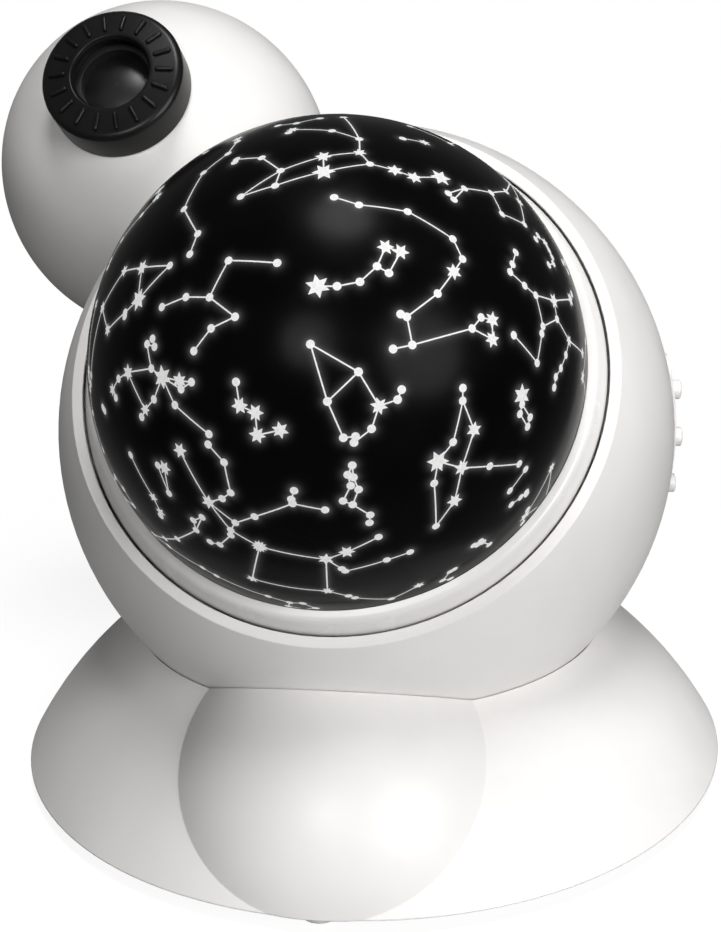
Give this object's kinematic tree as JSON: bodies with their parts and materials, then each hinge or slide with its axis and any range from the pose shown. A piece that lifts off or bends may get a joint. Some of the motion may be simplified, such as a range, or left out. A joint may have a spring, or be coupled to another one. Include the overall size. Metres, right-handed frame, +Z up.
{
  "type": "planetarium projector",
  "caption": "Home planetarium projector: white ball with a turning black star-map dome, a side pod with a focusing picture lens, side buttons and a flared, lobed base.",
  "frame": {"origin": "on the table, at the centre of the overall footprint box", "axes": "+Z up, -Y to the front where the star dome and the lens look, +X to the buttons"},
  "size_m": [0.2146, 0.2156, 0.2009],
  "materials": {
    "ball_plastic": "satin gloss moulded ABS",
    "base_plastic": "satin gloss moulded ABS",
    "under_plastic": "fine moulded grain",
    "dome_plastic": "polished black with printed star map",
    "collar_plastic": "satin gloss moulded ABS",
    "ring_plastic": "satin black moulded",
    "barrel_plastic": "matt black",
    "deck_plastic": "matt dark grey",
    "gear_plastic": "natural acetal",
    "key_plastic": "satin gloss moulded ABS",
    "pip_plastic": "frosted light pipe",
    "board": "green solder resist",
    "switch_plastic": "black",
    "jack_plastic": "black moulded socket",
    "screw_steel": "zinc plated",
    "shaft_steel": "ground",
    "motor_steel": "bright can",
    "clamp_metal": "plain",
    "contact_metal": "nickel plated leaf",
    "sink_metal": "plain anodised heat sink",
    "cell_wrap": "plain wrapped cell with bright ends",
    "foot_rubber": "matt pale rubber",
    "lens_glass": "clear polished",
    "condenser_glass": "clear polished",
    "lamp_cap": "clear epoxy over a pale phosphor",
    "disc_plastic": "matt black disc",
    "film": "printed slide film"
  },
  "bodies": {
    "body": {"base_shell": "base_plastic", "base_plate": "under_plastic", "battery_door": "under_plastic", "door_screw": "screw_steel", "base_screws": "screw_steel", "rubber_feet": "foot_rubber", "cells": "cell_wrap", "cell_contacts": "contact_metal", "dc_jack": "jack_plastic", "front_shell": "ball_plastic", "rear_shell": "ball_plastic", "seam_screws": "screw_steel", "clamp_ring": "clamp_metal", "floor_screws": "screw_steel", "button_panel": "key_plastic", "status_pips": "pip_plastic", "control_board": "board", "key_switches": "switch_plastic", "board_screws": "screw_steel", "star_deck": "deck_plastic", "deck_screws": "screw_steel", "star_motor": "motor_steel", "motor_screws": "screw_steel", "dome_keeper": "under_plastic", "keeper_screws": "screw_steel", "star_lamp": "lamp_cap", "pod_front": "ball_plastic", "pod_rear": "ball_plastic", "pod_screws": "screw_steel", "foot_screws": "screw_steel", "lens_barrel": "barrel_plastic", "barrel_screws": "screw_steel", "optic_frame": "deck_plastic", "frame_screws": "screw_steel", "condenser_lens": "condenser_glass", "picture_lamp": "sink_metal"},
    "star_turn": {"ring_gear": "gear_plastic", "dome_collar": "collar_plastic", "star_dome": "dome_plastic"},
    "pinion": {"motor_shaft": "shaft_steel", "motor_pinion": "gear_plastic"},
    "focus": {"focus_ring": "ring_plastic"},
    "lens": {"lens_cell": "barrel_plastic", "objective_lens": "lens_glass"},
    "disc": {"picture_disc": "disc_plastic", "picture_film": "film"},
    "key_top": {"button_top": "key_plastic"},
    "key_middle": {"button_middle": "key_plastic"},
    "key_bottom": {"button_bottom_key": "key_plastic"}
  },
  "joints": [
    {"name": "dome_spin", "type": "hinge", "parent": "body", "child": "star_turn", "pos_m": [0.01235, -0.00948, 0.087], "axis": [0, -0.8415, 0.5402], "continuous": true},
    {"name": "pinion_spin", "type": "hinge", "parent": "body", "child": "pinion", "pos_m": [-0.02662, -0.05811, 0.09149], "axis": [0, -0.8415, 0.5402], "continuous": true},
    {"name": "focus_turn", "type": "hinge", "parent": "body", "child": "focus", "pos_m": [-0.05735, 0.05782, 0.1509], "axis": [0, -0.8526, 0.5225], "range_deg": [-150, 150]},
    {"name": "lens_slide", "type": "slide", "parent": "body", "child": "lens", "axis": [0, -0.8526, 0.5225], "range_m": [-0.0024, 0.0024]},
    {"name": "disc_turn", "type": "hinge", "parent": "body", "child": "disc", "pos_m": [-0.06879, 0.05884, 0.17093], "axis": [0, -0.8526, 0.5225], "continuous": true},
    {"name": "key_top_press", "type": "slide", "parent": "body", "child": "key_top", "axis": [-0.9986, -0.0523, 0], "range_m": [0, 0.0008], "stiffness_N_per_m": 250},
    {"name": "key_middle_press", "type": "slide", "parent": "body", "child": "key_middle", "axis": [-0.9986, -0.0523, 0], "range_m": [0, 0.0008], "stiffness_N_per_m": 250},
    {"name": "key_bottom_press", "type": "slide", "parent": "body", "child": "key_bottom", "axis": [-0.9986, -0.0523, 0], "range_m": [0, 0.0008], "stiffness_N_per_m": 250}
  ],
  "couplings": [
    {"joint": "pinion_spin", "follows": "dome_spin", "ratio": 6},
    {"joint": "lens_slide", "follows": "focus_turn", "m_per_rad": 0.00076}
  ]
}
